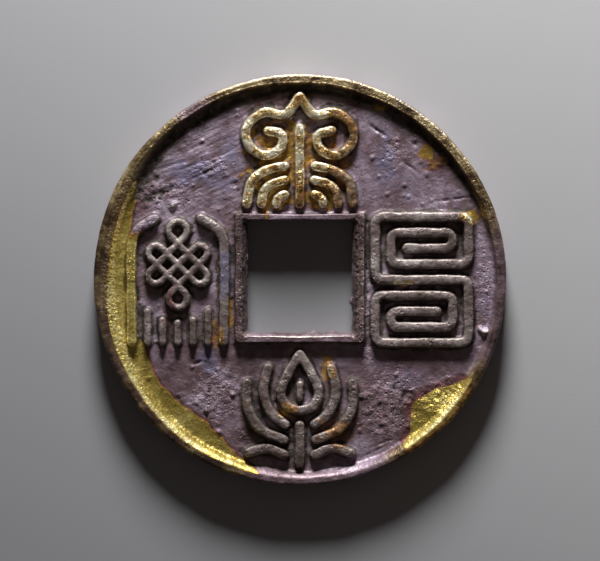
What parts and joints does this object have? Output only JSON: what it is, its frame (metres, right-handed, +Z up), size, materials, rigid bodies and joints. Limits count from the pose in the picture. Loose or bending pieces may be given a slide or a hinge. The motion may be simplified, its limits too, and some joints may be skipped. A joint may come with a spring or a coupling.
{
  "type": "cash coin",
  "caption": "Large round cast bronze coin with a square hole, raised rims on both faces, and relief of a cloud scroll, key fret, lotus and knot, in purple-brown patina with worn gilding.",
  "frame": {"origin": "centre of the coin's round outline, on the plane of the reverse outer rim's face", "axes": "+Z up through the coin, out of the obverse that carries the ornaments; +Y towards the cloud scroll; +X towards the key fret"},
  "size_m": [0.045, 0.045, 0.0032],
  "materials": {
    "bronze": "cast bronze with a lustrous purple-brown patina, dark in the recesses",
    "gilt_bronze": "cast bronze with worn gilding over the purple-brown patina"
  },
  "bodies": {
    "root": {"cloud_head": "gilt_bronze", "cloud_leaf_inner_left": "gilt_bronze", "cloud_leaf_inner_right": "gilt_bronze", "cloud_leaf_middle_left": "gilt_bronze", "cloud_leaf_middle_right": "gilt_bronze", "cloud_leaf_outer_left": "gilt_bronze", "cloud_leaf_outer_right": "gilt_bronze", "cloud_stem": "gilt_bronze", "field": "bronze", "hole_frame": "bronze", "key_fret": "bronze", "knot_cords": "bronze", "knot_ribbon_left": "bronze", "knot_ribbon_right": "bronze", "knot_tassel_1": "bronze", "knot_tassel_2": "bronze", "knot_tassel_3": "bronze", "knot_tassel_4": "bronze", "knot_tassel_5": "bronze", "lotus_bud": "bronze", "lotus_heart": "bronze", "lotus_leaf_left": "bronze", "lotus_leaf_right": "bronze", "lotus_petal_inner_left": "bronze", "lotus_petal_inner_right": "bronze", "lotus_petal_outer_left": "bronze", "lotus_petal_outer_right": "bronze", "lotus_stem": "bronze", "outer_rim": "bronze", "reverse_hole_frame": "bronze", "reverse_outer_rim": "bronze"}
  },
  "joints": []
}
